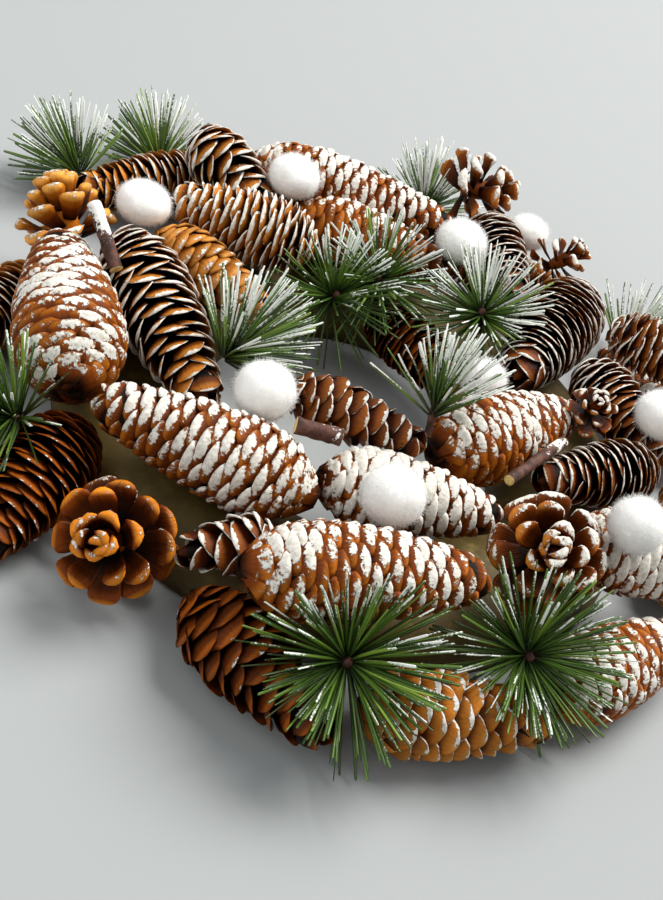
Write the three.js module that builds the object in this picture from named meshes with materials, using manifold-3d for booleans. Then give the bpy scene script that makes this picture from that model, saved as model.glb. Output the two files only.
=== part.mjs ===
// A wreath of spruce and pine cones with white pompoms and sprays of pine needles, lying on its base ring.
// Millimetres, +Z up. The origin is on the surface that it lies on, under the middle of the whole wreath.
import * as THREE from 'three';
import { mergeVertices } from 'three/addons/utils/BufferGeometryUtils.js';
import Module from 'manifold-3d';

const wasm = await Module();
wasm.setup();

// ---- Driving dimensions
const GAP = 0.4; // clearance between neighbouring pieces
const RING = { inner: 66, outer: 128, height: 22, steps: 40, archSteps: 7 };
const HOLE = { radius: 27 }; // the round in the middle that cones and needles stay out of
const GOLDEN_ANGLE = 137.5; // degrees from each scale or needle to the next

// Shares without a unit are of the cone's own length or width.
const SPRUCE = {
  rowPitch: 8.8,
  scaleWidth: 13.5,
  relief: { closed: 0.13, pale: 0.13, open: 0.3 }, // how far the dips lie below the scale tips
  firstRow: 0.75, // in rows, from the stalk
  tipLift: 0.32, // scale tips lean this far to the cone's tip, in rows
  dipDrop: 0.2, // and the dips between them this far to the stalk
  shoulder: 0.2, // where the cone reaches its full width
  taperFrom: 0.3,
  taper: 0.62,
  taperPower: 1.8,
};
const PINE = {
  coreWidth: 0.21, // half width and half length of the slim core
  coreLength: 0.4,
  scaleWidth: 0.34,
  scaleThickness: 0.09,
  firstRoot: -0.26, // the scales' roots run from here
  rootSpan: 0.44, // over this share of the length
  openAngle: 104, // degrees that the first scale leans from the cone's axis
  closeAngle: 26, // and the last one
  reachDrop: 0.42, // how much shorter and narrower the last scale is
  widthDrop: 0.4,
  shoulderAt: 0.86, // of a scale's reach
  lipAt: 0.96,
};
const POMPOM = { detail: 1 };
const TWIG = { sides: 7, taper: 0.84 };
const NEEDLE = {
  count: 20,
  radius: 0.8,
  length: 35,
  shortest: 0.88, // of the length
  varied: 0.16,
  jitter: 8, // degrees
  rootDepth: 1.5, // the first root's distance below the hub
  rootSpan: 9,
  clearance: 1.3,
  apart: 2.3, // least distance between needles of two sprays
  clearFrom: 4, // the stretch near the stem isn't tested
  testStep: 2,
  turns: 6,
};
const STEM = { radius: 1.7, taper: 0.8, sides: 6, shortest: 10, longest: 34, step: 2 };
const SETTLING = {
  passes: 600,
  pull: 0.04, // share of the way home in each pass
  pullUntil: 0.67, // of the passes
  floor: 0.3, // clearance over the surface
  sink: 0.25,
  touching: 0.8, // a piece is held where a neighbour is this near
  arcSteps: 30,
  spruceSpheres: 14,
};

const COLOURS = {
  ring: '#a89566',
  closed: '#9a5a2c',
  open: '#4a2815',
  pale: '#b97b3f',
  pineCone: '#a8602a',
  pompom: '#f4f3ef',
  needles: '#3f6a35',
  twig: '#5a3a2c',
};

// ---- Layout: place of the middle, heading of the tip (degrees from +X), pitch of the tip above level
// These are the places that the pieces are meant for. Settling pushes them apart until none meets another.
const pieces = [
  // outer row, on the surface round the ring
  { name: 'spruce_cone_01', at: [-98, -116, 19], heading: 263, pitch: -10, length: 72, width: 35, kind: 'open' },
  { name: 'spruce_cone_02', at: [6, -153, 16], heading: 333, length: 74, width: 33, kind: 'pale' },
  { name: 'spruce_cone_03', at: [76, -138, 15], heading: 23, length: 76, width: 33, kind: 'closed' },
  { name: 'spruce_cone_04', at: [132, -81, 17], heading: 51, length: 80, width: 35, kind: 'closed' },
  { name: 'spruce_cone_05', at: [152, 6, 16], heading: 95, length: 86, width: 32, kind: 'open' },
  { name: 'spruce_cone_06', at: [126, 95, 16], heading: 130, length: 80, width: 28, kind: 'closed' },
  { name: 'spruce_cone_07', at: [34, 150, 16], heading: 168, length: 96, width: 32, kind: 'open' },
  { name: 'spruce_cone_08', at: [-152, -40, 16], heading: 260, length: 76, width: 30, kind: 'open' },
  { name: 'spruce_cone_09', at: [-133, 88, 24], heading: 229, length: 78, width: 31, kind: 'open' },
  // cones on the ring
  { name: 'spruce_cone_10', at: [-45, -90, 41], heading: 182, pitch: 3, length: 90, width: 36, kind: 'closed' },
  { name: 'spruce_cone_11', at: [21, -118, 40], heading: 28, length: 94, width: 36, kind: 'closed' },
  { name: 'spruce_cone_12', at: [-23, -127, 28], heading: 215, pitch: -6, length: 40, width: 23, kind: 'closed' },
  { name: 'spruce_cone_13', at: [-117, -50, 40], heading: 118, length: 90, width: 43, kind: 'closed' },
  { name: 'spruce_cone_14', at: [-86, -25, 40], heading: 311, length: 106, width: 36, kind: 'open' },
  { name: 'spruce_cone_15', at: [-84, 21, 36], heading: 345, pitch: -4, length: 62, width: 28, kind: 'pale' },
  { name: 'spruce_cone_16', at: [-79, 54, 40], heading: 187, length: 70, width: 35, kind: 'open' },
  { name: 'spruce_cone_17', at: [-98, 88, 37], heading: 325, length: 54, width: 30, kind: 'open' },
  { name: 'spruce_cone_18', at: [-43, 120, 41], heading: 11, length: 104, width: 34, kind: 'closed' },
  { name: 'spruce_cone_19', at: [43, 119, 41], heading: 298, length: 60, width: 30, kind: 'open' },
  { name: 'spruce_cone_20', at: [68, 76, 38], heading: 257, length: 92, width: 38, kind: 'open' },
  { name: 'spruce_cone_21', at: [60, -6, 41], heading: 51, length: 80, width: 37, kind: 'closed' },
  { name: 'spruce_cone_22', at: [32, -70, 41], heading: 16, length: 74, width: 32, kind: 'closed' },
  { name: 'spruce_cone_23', at: [2, -47, 49], heading: 1, length: 60, width: 24, kind: 'open' },
  { name: 'spruce_cone_24', at: [110, 93, 44], heading: 352, length: 58, width: 29, kind: 'open' },
  { name: 'spruce_cone_25', at: [104, 46, 40], heading: 315, length: 60, width: 29, kind: 'open' },
  { name: 'spruce_cone_26', at: [102, -3, 38], heading: 220, length: 64, width: 29, kind: 'open' },
  { name: 'spruce_cone_27', at: [131, -44, 36], heading: 13, length: 70, width: 34, kind: 'closed' },
  { name: 'spruce_cone_28', at: [-28, 82, 34], heading: 10, length: 80, width: 33, kind: 'closed' },
  { name: 'spruce_cone_29', at: [18, 49, 22], heading: 330, length: 68, width: 28, kind: 'open' },
  // open pine cones: their tips look up and outwards
  { name: 'pine_cone_01', at: [-56, -138, 26], heading: 262, pitch: 40, length: 36, width: 50, scales: 21 },
  { name: 'pine_cone_02', at: [86, -67, 46], heading: 265, pitch: 48, length: 38, width: 52, scales: 22 },
  { name: 'pine_cone_03', at: [-149, 14, 42], heading: 150, pitch: 50, length: 38, width: 49, scales: 21 },
  { name: 'pine_cone_04', at: [15, 165, 44], heading: 25, pitch: 10, length: 36, width: 44, scales: 19 },
  { name: 'pine_cone_05', at: [62, 132, 43], heading: 20, pitch: 45, length: 26, width: 31, scales: 14 },
  { name: 'pine_cone_06', at: [87, 15, 52], heading: 270, pitch: 60, length: 18, width: 24, scales: 12 },
  // cut twigs
  { name: 'twig_01', at: [-118, -16, 57], heading: 137, pitch: 24, length: 30, width: 6 },
  { name: 'twig_02', at: [-11, -76, 52], heading: 13, length: 18, width: 7 },
  { name: 'twig_03', at: [74, -25, 50], heading: 65, length: 42, width: 5 },
  // pompoms
  { name: 'pompom_01', at: [-34, -70, 52], width: 25 },
  { name: 'pompom_02', at: [24, -90, 58], width: 25 },
  { name: 'pompom_03', at: [-120, 31, 52], width: 25 },
  { name: 'pompom_04', at: [-72, 86, 53], width: 25 },
  { name: 'pompom_05', at: [12, 95, 56], width: 25 },
  { name: 'pompom_06', at: [46, 150, 44], width: 22 },
  { name: 'pompom_07', at: [112, -54, 56], width: 23 },
  { name: 'pompom_08', at: [47, 14, 44], width: 20 },
  { name: 'pompom_09', at: [119, 30, 54], width: 24 },
];

// A spray's own point is the hub that its needles spread from. Its stem runs back to what holds it.
// Its needles lean from the stem's direction by the angles of its spread.
// The two sprays at the front also give their needles' length.
const sprays = [
  { name: 'needle_spray_01', at: [31, -149, 31], heading: 272, pitch: 38, spread: [40, 96], needles: 42 },
  { name: 'needle_spray_02', at: [92, -111, 31], heading: 285, pitch: 38, spread: [40, 96], needles: 40 },
  { name: 'needle_spray_03', at: [-116, -109, 35], heading: 220, pitch: 25, spread: [10, 75] },
  { name: 'needle_spray_04', at: [-54, -37, 48], heading: 45, pitch: 45, spread: [10, 70] },
  { name: 'needle_spray_05', at: [-29, 42, 37], heading: 290, pitch: 45, spread: [30, 90] },
  { name: 'needle_spray_06', at: [-15, 64, 40], heading: 270, pitch: 45, spread: [30, 90] },
  { name: 'needle_spray_07', at: [34, 62, 47], heading: 260, pitch: 50, spread: [30, 90] },
  { name: 'needle_spray_08', at: [29, -39, 50], heading: 110, pitch: 60, spread: [10, 55] },
  { name: 'needle_spray_09', at: [-165, 80, 16], heading: 150, pitch: 20, spread: [10, 65] },
  { name: 'needle_spray_10', at: [-140, 122, 16], heading: 125, pitch: 22, spread: [10, 65] },
  { name: 'needle_spray_11', at: [-10, 177, 23], heading: 95, pitch: 25, spread: [10, 65] },
  { name: 'needle_spray_12', at: [112, 134, 18], heading: 50, pitch: 25, spread: [10, 65] },
];

// ---- Small helpers
const TAU = 2 * Math.PI;
const radians = THREE.MathUtils.degToRad;
const X_AXIS = new THREE.Vector3(1, 0, 0);
const Y_AXIS = new THREE.Vector3(0, 1, 0);
const Z_AXIS = new THREE.Vector3(0, 0, 1);

function seededRandom(seed) {
  let state = seed >>> 0;
  return () => {
    state = (state + 0x6d2b79f5) >>> 0;
    let t = state;
    t = Math.imul(t ^ (t >>> 15), t | 1);
    t ^= t + Math.imul(t ^ (t >>> 7), t | 61);
    return ((t ^ (t >>> 14)) >>> 0) / 4294967296;
  };
}

function geometryFrom(points, triangles) {
  const geometry = new THREE.BufferGeometry();
  geometry.setAttribute('position', new THREE.Float32BufferAttribute(points.flat(), 3));
  geometry.setIndex(triangles.flat());
  return geometry;
}

function pointing(heading, pitch) {
  const h = radians(heading);
  const p = radians(pitch);
  return new THREE.Vector3(Math.cos(p) * Math.cos(h), Math.cos(p) * Math.sin(h), Math.sin(p));
}

// Turns +X to the given heading and pitch without rolling about itself.
function turn(heading, pitch) {
  return new THREE.Quaternion().setFromEuler(new THREE.Euler(0, -radians(pitch), radians(heading), 'ZYX'));
}

function toSolid(geometry) {
  const bare = geometry.clone();
  bare.deleteAttribute('normal');
  bare.deleteAttribute('uv');
  const merged = mergeVertices(bare, 1e-4);
  return new wasm.Manifold(new wasm.Mesh({
    numProp: 3,
    vertProperties: new Float32Array(merged.attributes.position.array),
    triVerts: new Uint32Array(merged.index.array),
  }));
}

function fromSolid(solid) {
  const mesh = solid.getMesh();
  const geometry = new THREE.BufferGeometry();
  geometry.setAttribute('position', new THREE.Float32BufferAttribute(mesh.vertProperties, 3));
  geometry.setIndex(Array.from(mesh.triVerts));
  return geometry;
}

// One body from a list of crossing closed geometries.
function fuse(geometries) {
  const joined = geometries.map(toSolid).reduce((whole, next) => whole.add(next));
  const bodies = joined.decompose().sort((a, b) => b.volume() - a.volume());
  return fromSolid(bodies[0]);
}

// ---- Base ring: a half-round section with a flat underside
const ringMiddle = (RING.inner + RING.outer) / 2;
const ringHalfWidth = (RING.outer - RING.inner) / 2;

function archPoint(share) {
  const angle = Math.PI * share;
  return new THREE.Vector2(ringMiddle + ringHalfWidth * Math.cos(angle), RING.height * Math.sin(angle));
}

function archPoints(steps) {
  return Array.from({ length: steps + 1 }, (_, i) => archPoint(i / steps));
}

function baseRing() {
  const profile = archPoints(RING.archSteps);
  const geometry = new THREE.LatheGeometry([...profile, profile[0].clone()], RING.steps);
  geometry.rotateX(Math.PI / 2);
  return fromSolid(toSolid(geometry));
}

// ---- Spruce cone: rows of pointed scales as relief on a tapering body, along +X from the stalk to the tip
// Half width at a share of the length: a round shoulder, then a taper that quickens to the tip.
function spruceRadius(share) {
  const shoulder = Math.min(1, Math.sqrt(Math.max(share, 0) / SPRUCE.shoulder));
  const tapered = Math.max(0, (share - SPRUCE.taperFrom) / (1 - SPRUCE.taperFrom));
  return shoulder * (1 - SPRUCE.taper * tapered ** SPRUCE.taperPower);
}

function spruceCone({ length, width, kind }) {
  const rows = Math.round(length / SPRUCE.rowPitch);
  const around = Math.max(6, Math.round((width * Math.PI) / SPRUCE.scaleWidth));
  const relief = SPRUCE.relief[kind];
  const pitch = length / (rows + 1);
  const ringSize = 2 * around; // scale tips and the dips between them take turns
  const points = [];
  const triangles = [];
  for (let row = 0; row < rows; row += 1) {
    for (let i = 0; i < ringSize; i += 1) {
      const isTip = (i + row) % 2 === 0;
      const along = pitch * (row + SPRUCE.firstRow + (isTip ? SPRUCE.tipLift : -SPRUCE.dipDrop));
      const radius = 0.5 * width * spruceRadius(along / length) * (isTip ? 1 : 1 - relief);
      const angle = (TAU * i) / ringSize;
      points.push([along - length / 2, radius * Math.cos(angle), radius * Math.sin(angle)]);
    }
  }
  for (let row = 0; row + 1 < rows; row += 1) {
    for (let i = 0; i < ringSize; i += 1) {
      const a = row * ringSize + i;
      const b = row * ringSize + ((i + 1) % ringSize);
      const c = a + ringSize;
      const d = b + ringSize;
      const aIsTip = (i + row) % 2 === 0;
      triangles.push(...(aIsTip ? [[a, b, c], [b, d, c]] : [[a, d, c], [a, b, d]]));
    }
  }
  const stalk = points.push([-length / 2, 0, 0]) - 1;
  const tip = points.push([length / 2, 0, 0]) - 1;
  const lastRing = (rows - 1) * ringSize;
  for (let i = 0; i < ringSize; i += 1) {
    const next = (i + 1) % ringSize;
    triangles.push([stalk, next, i], [tip, lastRing + i, lastRing + next]);
  }
  return geometryFrom(points, triangles);
}

// The room that a cone takes, as spheres along its axis, the end ones small enough to stay within its length.
function spruceSpheres({ length, width }) {
  const count = SETTLING.spruceSpheres;
  const endShare = 0.06;
  const proud = 1.5;
  return Array.from({ length: count }, (_, i) => {
    const share = endShare + ((1 - 2 * endShare) * i) / (count - 1);
    const toEnd = length * Math.min(share, 1 - share) + proud;
    const r = Math.min(0.5 * width * spruceRadius(share), toEnd);
    return { at: new THREE.Vector3((share - 0.5) * length, 0, 0), r };
  });
}

// ---- Open pine cone: scales with diamond ends in a golden-angle spiral round a slim core, tip towards +X
function pineScaleFrames({ length, width, scales }) {
  return Array.from({ length: scales }, (_, k) => {
    const share = (k + 0.5) / scales;
    const opening = radians(THREE.MathUtils.lerp(PINE.openAngle, PINE.closeAngle, share));
    const angle = radians(GOLDEN_ANGLE * k);
    const out = new THREE.Vector3(0, Math.cos(angle), Math.sin(angle));
    const root = new THREE.Vector3((PINE.firstRoot + PINE.rootSpan * share) * length, 0, 0);
    const along = X_AXIS.clone().multiplyScalar(Math.cos(opening)).addScaledVector(out, Math.sin(opening));
    const side = new THREE.Vector3().crossVectors(X_AXIS, out);
    return {
      reach: 0.5 * width * (1 - PINE.reachDrop * share ** 2),
      halfWidth: 0.5 * PINE.scaleWidth * width * (1 - PINE.widthDrop * share),
      halfThickness: 0.5 * PINE.scaleThickness * width,
      place: (u, v, w) => root.clone().addScaledVector(along, u).addScaledVector(side, v)
        .addScaledVector(new THREE.Vector3().crossVectors(along, side), w),
    };
  });
}

function pineScale({ reach, halfWidth, halfThickness, place }) {
  const points = [
    place(0, 0, 0),
    place(PINE.shoulderAt * reach, halfWidth, 0),
    place(reach, 0, halfThickness),
    place(PINE.shoulderAt * reach, -halfWidth, 0),
    place(PINE.lipAt * reach, 0, -halfThickness),
  ];
  return geometryFrom(points.map((point) => point.toArray()), [
    [1, 2, 3], [1, 3, 4],
    [0, 2, 1], [0, 3, 2], [0, 4, 3], [0, 1, 4],
  ]);
}

function pineCone(piece) {
  const core = new THREE.IcosahedronGeometry(1, 0);
  const coreRadius = PINE.coreWidth * piece.width;
  core.scale(PINE.coreLength * piece.length, coreRadius, coreRadius);
  return fuse([core, ...pineScaleFrames(piece).map(pineScale)]);
}

// Spheres in the core and on each scale: [share of its reach, share of its half width, size in half widths].
const PINE_SCALE_SPHERES = [[0.6, 0, 0.6], [0.8, 0.45, 0.5], [0.8, -0.45, 0.5], [0.87, 0, 0.4]];

function pineSpheres(piece) {
  const core = [-0.2, 0, 0.2].map((share) => (
    { at: new THREE.Vector3(share * piece.length, 0, 0), r: PINE.coreWidth * piece.width }));
  const onScales = pineScaleFrames(piece).flatMap(({ reach, halfWidth, place }) => (
    PINE_SCALE_SPHERES.map(([u, v, size]) => (
      { at: place(u * reach, v * halfWidth, 0), r: size * halfWidth }))));
  return [...core, ...onScales];
}

// ---- Pompom, twig
function pompom({ width }) {
  return fromSolid(toSolid(new THREE.IcosahedronGeometry(width / 2, POMPOM.detail)));
}

function pompomSpheres({ width }) {
  return [{ at: new THREE.Vector3(), r: width / 2 }];
}

function twig({ length, width }) {
  const geometry = new THREE.CylinderGeometry(0.5 * TWIG.taper * width, 0.5 * width, length, TWIG.sides);
  geometry.rotateZ(-Math.PI / 2);
  return fromSolid(toSolid(geometry));
}

function twigSpheres({ length, width }) {
  const r = 0.56 * width;
  const span = length - 0.4 * width;
  const count = Math.ceil((2 * length) / width);
  return Array.from({ length: count }, (_, i) => (
    { at: new THREE.Vector3(((i + 0.5) / count - 0.5) * span, 0, 0), r }));
}

const FAMILIES = {
  spruce_cone: { shape: spruceCone, spheres: spruceSpheres },
  pine_cone: { shape: pineCone, spheres: pineSpheres, colour: COLOURS.pineCone },
  twig: { shape: twig, spheres: twigSpheres, colour: COLOURS.twig },
  pompom: { shape: pompom, spheres: pompomSpheres, colour: COLOURS.pompom },
};

const familyOf = (piece) => FAMILIES[piece.name.slice(0, -3)];

// ---- Settling: the pieces give way to each other, to the ring and to the surface
const fineArch = archPoints(SETTLING.arcSteps);

function makeBody(piece) {
  const quaternion = turn(piece.heading ?? 0, piece.pitch ?? 0);
  const upright = familyOf(piece).spheres(piece);
  const spheres = upright.map(({ at, r }) => ({ at: at.applyQuaternion(quaternion), r }));
  return {
    piece,
    quaternion,
    spheres,
    home: new THREE.Vector3(...piece.at),
    at: new THREE.Vector3(...piece.at),
    reach: Math.max(...spheres.map(({ at, r }) => at.length() + r)),
    mass: (piece.length ?? piece.width) * piece.width ** 2,
  };
}

// How deep two bodies meet, with the direction that parts them. A negative depth is the room between them.
function meeting(a, b) {
  let deepest = { depth: -Infinity };
  if (a.at.distanceTo(b.at) > a.reach + b.reach + SETTLING.touching + GAP) return deepest;
  for (const one of a.spheres) {
    for (const other of b.spheres) {
      const dx = a.at.x + one.at.x - b.at.x - other.at.x;
      const dy = a.at.y + one.at.y - b.at.y - other.at.y;
      const dz = a.at.z + one.at.z - b.at.z - other.at.z;
      const depth = one.r + other.r + GAP - Math.hypot(dx, dy, dz);
      if (depth > deepest.depth) deepest = { depth, away: new THREE.Vector3(dx, dy, dz) };
    }
  }
  return deepest;
}

// The same against the ring, the surface and the hole, for one sphere that is r in size at the point.
function groundMeeting(point, r) {
  const fromAxis = Math.hypot(point.x, point.y);
  const outwards = new THREE.Vector3(point.x, point.y, 0).divideScalar(fromAxis);
  const floor = { depth: r + SETTLING.floor - point.z, away: Z_AXIS.clone() };
  const hole = { depth: HOLE.radius + r - fromAxis, away: outwards };
  const section = new THREE.Vector2(fromAxis, point.z);
  const nearest = fineArch.reduce((best, p) => (p.distanceTo(section) < best.distanceTo(section) ? p : best));
  const inside = ((fromAxis - ringMiddle) / ringHalfWidth) ** 2 + (point.z / RING.height) ** 2 < 1;
  const sign = inside ? -1 : 1;
  const ring = {
    depth: r + GAP - sign * nearest.distanceTo(section),
    away: outwards.clone().multiplyScalar(sign * (fromAxis - nearest.x)).setZ(sign * (point.z - nearest.y)),
  };
  return [floor, hole, ring];
}

function deepestGround(body, holds) {
  const meetings = body.spheres.flatMap(({ at, r }) => {
    const all = groundMeeting(at.clone().add(body.at), r);
    return holds ? [all[0], all[2]] : all;
  });
  return meetings.reduce((best, next) => (next.depth > best.depth ? next : best));
}

function pushApart(bodies) {
  for (let i = 0; i < bodies.length; i += 1) {
    for (let j = 0; j < i; j += 1) {
      const { depth, away } = meeting(bodies[i], bodies[j]);
      if (depth <= 0) continue;
      const share = bodies[j].mass / (bodies[i].mass + bodies[j].mass);
      bodies[i].at.addScaledVector(away.normalize(), depth * share);
      bodies[j].at.addScaledVector(away, -depth * (1 - share));
    }
    const { depth, away } = deepestGround(bodies[i], false);
    if (depth > 0) bodies[i].at.addScaledVector(away.normalize(), depth);
  }
}

function isHeld(body, bodies) {
  return deepestGround(body, true).depth > -SETTLING.touching
    || bodies.some((other) => other !== body && meeting(body, other).depth > -SETTLING.touching);
}

function settle(bodies) {
  for (let pass = 0; pass < SETTLING.passes; pass += 1) {
    const pull = SETTLING.pull * Math.max(0, 1 - pass / (SETTLING.pullUntil * SETTLING.passes));
    bodies.forEach((body) => body.at.lerp(body.home, pull));
    pushApart(bodies);
  }
  for (const body of [...bodies].sort((a, b) => a.at.z - b.at.z)) {
    while (!isHeld(body, bodies)) body.at.z -= SETTLING.sink;
  }
  return bodies;
}

// ---- Needle sprays: a slim stem with three-sided needles, bent clear of what lies round it
const bodies = settle(pieces.map(makeBody));
const laidSpheres = bodies.flatMap((body) => (
  body.spheres.map(({ at, r }) => ({ at: at.clone().add(body.at), r }))));
const needlePoints = [];

function isClear(point, radius) {
  if (groundMeeting(point, radius).some(({ depth }) => depth > 0)) return false;
  if (laidSpheres.some(({ at, r }) => at.distanceTo(point) < r + radius + GAP)) return false;
  return !needlePoints.some((at) => at.distanceTo(point) < NEEDLE.apart);
}

// Directions spread evenly by the golden angle between the two angles from the stem.
function needleDirections({ spread }, axis, random) {
  const side = new THREE.Vector3().crossVectors(Z_AXIS, axis).normalize();
  const over = new THREE.Vector3().crossVectors(axis, side);
  return Array.from({ length: NEEDLE.count }, (_, i) => {
    const share = (i + 0.5) / NEEDLE.count;
    const lean = radians(THREE.MathUtils.lerp(...spread, share) + NEEDLE.jitter * (random() - 0.5));
    const angle = radians(GOLDEN_ANGLE * i);
    return axis.clone().multiplyScalar(Math.cos(lean))
      .addScaledVector(side, Math.sin(lean) * Math.cos(angle))
      .addScaledVector(over, Math.sin(lean) * Math.sin(angle));
  });
}

// Carries a shape that stands along +Y from the origin to a point and a direction.
function stand(geometry, from, direction) {
  geometry.applyQuaternion(new THREE.Quaternion().setFromUnitVectors(Y_AXIS, direction));
  geometry.translate(from.x, from.y, from.z);
  return geometry;
}

function needleGeometry(root, direction, length) {
  const geometry = new THREE.ConeGeometry(NEEDLE.radius, length, 3);
  geometry.translate(0, length / 2, 0);
  return stand(geometry, root, direction);
}

// A needle that would meet a neighbour turns towards the stem's own direction in steps until it is clear.
function clearNeedle(root, direction, axis, length, holeSide) {
  for (let step = 0; step <= NEEDLE.turns; step += 1) {
    const turned = direction.clone().lerp(axis, step / (NEEDLE.turns + 1)).normalize();
    const samples = [];
    for (let along = NEEDLE.clearFrom; along <= length; along += NEEDLE.testStep) {
      samples.push(root.clone().addScaledVector(turned, along));
    }
    const staysOut = samples.every((point) => point.dot(holeSide) > HOLE.radius);
    if (staysOut && samples.every((point) => isClear(point, NEEDLE.clearance))) return { turned, samples };
  }
  return null;
}

function stemPoints(hub, axis, length) {
  const count = Math.ceil(length / STEM.step) + 1;
  return Array.from({ length: count }, (_, i) => hub.clone().addScaledVector(axis, -STEM.step * i));
}

function stemIsClear(hub, axis, length) {
  return stemPoints(hub, axis, length).every((point) => isClear(point, STEM.radius));
}

function spray(piece, index) {
  const random = seededRandom(100 + index);
  const axis = pointing(piece.heading, piece.pitch);
  const hub = new THREE.Vector3(...piece.at);
  const holeSide = hub.clone().setZ(0).normalize();
  while (!stemIsClear(hub, axis, STEM.shortest)) hub.add(axis);
  let stemLength = STEM.shortest;
  while (stemLength < STEM.longest && stemIsClear(hub, axis, stemLength + STEM.step)) {
    stemLength += STEM.step;
  }
  const stem = new THREE.CylinderGeometry(STEM.radius, STEM.taper * STEM.radius, stemLength, STEM.sides);
  stem.translate(0, -stemLength / 2, 0);
  const parts = [stand(stem, hub, axis)];
  const taken = stemPoints(hub, axis, stemLength);
  needleDirections(piece, axis, random).forEach((direction) => {
    const root = hub.clone().addScaledVector(axis, -NEEDLE.rootDepth - NEEDLE.rootSpan * random());
    const length = (piece.needles ?? NEEDLE.length) * (NEEDLE.shortest + NEEDLE.varied * random());
    const needle = clearNeedle(root, direction, axis, length, holeSide);
    if (!needle) return;
    parts.push(needleGeometry(root, needle.turned, length));
    taken.push(...needle.samples);
  });
  needlePoints.push(...taken);
  return fuse(parts);
}

// ---- The wreath
const wreath = new THREE.Group();

function addMesh(name, geometry, colour, roughness) {
  geometry.computeVertexNormals();
  const material = new THREE.MeshStandardMaterial({ color: colour, roughness, metalness: 0 });
  const mesh = new THREE.Mesh(geometry, material);
  mesh.name = name;
  wreath.add(mesh);
  return mesh;
}

addMesh('base_ring', baseRing(), COLOURS.ring, 0.9);
for (const { piece, quaternion, at } of bodies) {
  const { shape, colour } = familyOf(piece);
  const mesh = addMesh(piece.name, shape(piece), colour ?? COLOURS[piece.kind], 0.85);
  mesh.quaternion.copy(quaternion);
  mesh.position.copy(at);
}
sprays.forEach((piece, index) => addMesh(piece.name, spray(piece, index), COLOURS.needles, 0.6));

const box = new THREE.Box3().setFromObject(wreath, true);
const middle = box.getCenter(new THREE.Vector3());
wreath.position.set(-middle.x, -middle.y, 0);

export default wreath;
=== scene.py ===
import bpy
import math
import numpy as np
from mathutils import Matrix, Vector


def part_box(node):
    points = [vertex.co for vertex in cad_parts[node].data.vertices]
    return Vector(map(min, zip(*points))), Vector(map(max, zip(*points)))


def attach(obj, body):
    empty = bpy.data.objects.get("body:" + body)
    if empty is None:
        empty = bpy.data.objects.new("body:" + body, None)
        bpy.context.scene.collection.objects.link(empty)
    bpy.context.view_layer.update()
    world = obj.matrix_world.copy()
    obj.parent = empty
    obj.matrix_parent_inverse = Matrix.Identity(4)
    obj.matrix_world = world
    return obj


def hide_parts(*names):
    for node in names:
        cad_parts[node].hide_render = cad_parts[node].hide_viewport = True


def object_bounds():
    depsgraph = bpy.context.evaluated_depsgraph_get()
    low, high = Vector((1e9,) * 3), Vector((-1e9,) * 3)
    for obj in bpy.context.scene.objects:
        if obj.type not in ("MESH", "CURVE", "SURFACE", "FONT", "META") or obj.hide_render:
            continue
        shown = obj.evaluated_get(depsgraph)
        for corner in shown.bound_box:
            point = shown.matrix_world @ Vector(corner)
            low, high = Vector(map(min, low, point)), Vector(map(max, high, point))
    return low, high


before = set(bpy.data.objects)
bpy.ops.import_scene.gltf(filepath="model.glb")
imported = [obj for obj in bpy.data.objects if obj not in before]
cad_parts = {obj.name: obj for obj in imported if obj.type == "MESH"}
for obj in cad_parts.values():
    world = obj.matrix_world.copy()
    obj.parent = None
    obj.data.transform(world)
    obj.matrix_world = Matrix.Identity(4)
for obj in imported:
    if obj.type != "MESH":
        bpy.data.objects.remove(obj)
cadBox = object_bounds()
print("wreath frame loaded:", len(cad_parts), "nodes")

perMetre = 1000.0  # every shape is worked out in millimetres and put into its mesh in metres
goldenTurn = math.radians(137.5)


# small helpers on whole arrays

def nodePoints(node):
    # the corners of one of the frame's nodes, in millimetres
    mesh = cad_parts[node].data
    flat = np.empty(len(mesh.vertices) * 3, np.float32)
    mesh.vertices.foreach_get("co", flat)
    return flat.reshape(-1, 3).astype(float) * perMetre


def unit(vectors):
    # each vector divided by its length
    return vectors / np.linalg.norm(vectors, axis=-1, keepdims=True)


def smoothStep(low, high, value):
    # 0 below low and 1 above high; between them three squares less two cubes of the share
    share = np.clip((value - low) / (high - low), 0, 1)
    return share * share * (3 - 2 * share)


def lumpNoise(points, size, seed):
    # value noise from -1 to 1: random heights on a cubic lattice of this size, joined by smooth steps
    spots = points / size + seed * 17.31
    corner = np.floor(spots)
    part = spots - corner
    part = part * part * (3 - 2 * part)
    total = 0
    for offset in np.ndindex(2, 2, 2):
        raw = np.sin((corner + offset) @ np.array([127.1, 311.7, 74.7])) * 43758.5453
        share = np.where(np.array(offset) == 1, part, 1 - part).prod(axis=-1)
        total = total + (raw - np.floor(raw)) * share
    return total * 2 - 1


def heading(degrees, pitch):
    # the direction turned from +X by the first angle and raised above level by the second
    h, p = math.radians(degrees), math.radians(pitch)
    return np.array([math.cos(p) * math.cos(h), math.cos(p) * math.sin(h), math.sin(p)])


def crossAxes(axis):
    # two directions square to the axis, the first one level
    level = unit(np.cross([0.0, 0.0, 1.0], axis))
    return level, np.cross(axis, level)


def tubeFaces(rings, around):
    # quads between neighbouring rings of a closed tube and triangles from each end ring to its pole
    ring, spot = np.meshgrid(np.arange(rings - 1), np.arange(around), indexing="ij")
    here = ring * around + spot
    beside = ring * around + (spot + 1) % around
    quads = np.stack([here, here + around, beside + around, beside], -1).reshape(-1, 4)
    spot = np.arange(around)
    beside = (spot + 1) % around
    root = rings * around
    last = (rings - 1) * around
    rootTris = np.stack([np.full(around, root), spot, beside], -1)
    tipTris = np.stack([last + spot, np.full(around, root + 1), last + beside], -1)
    return quads, np.concatenate([rootTris, tipTris])


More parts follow.
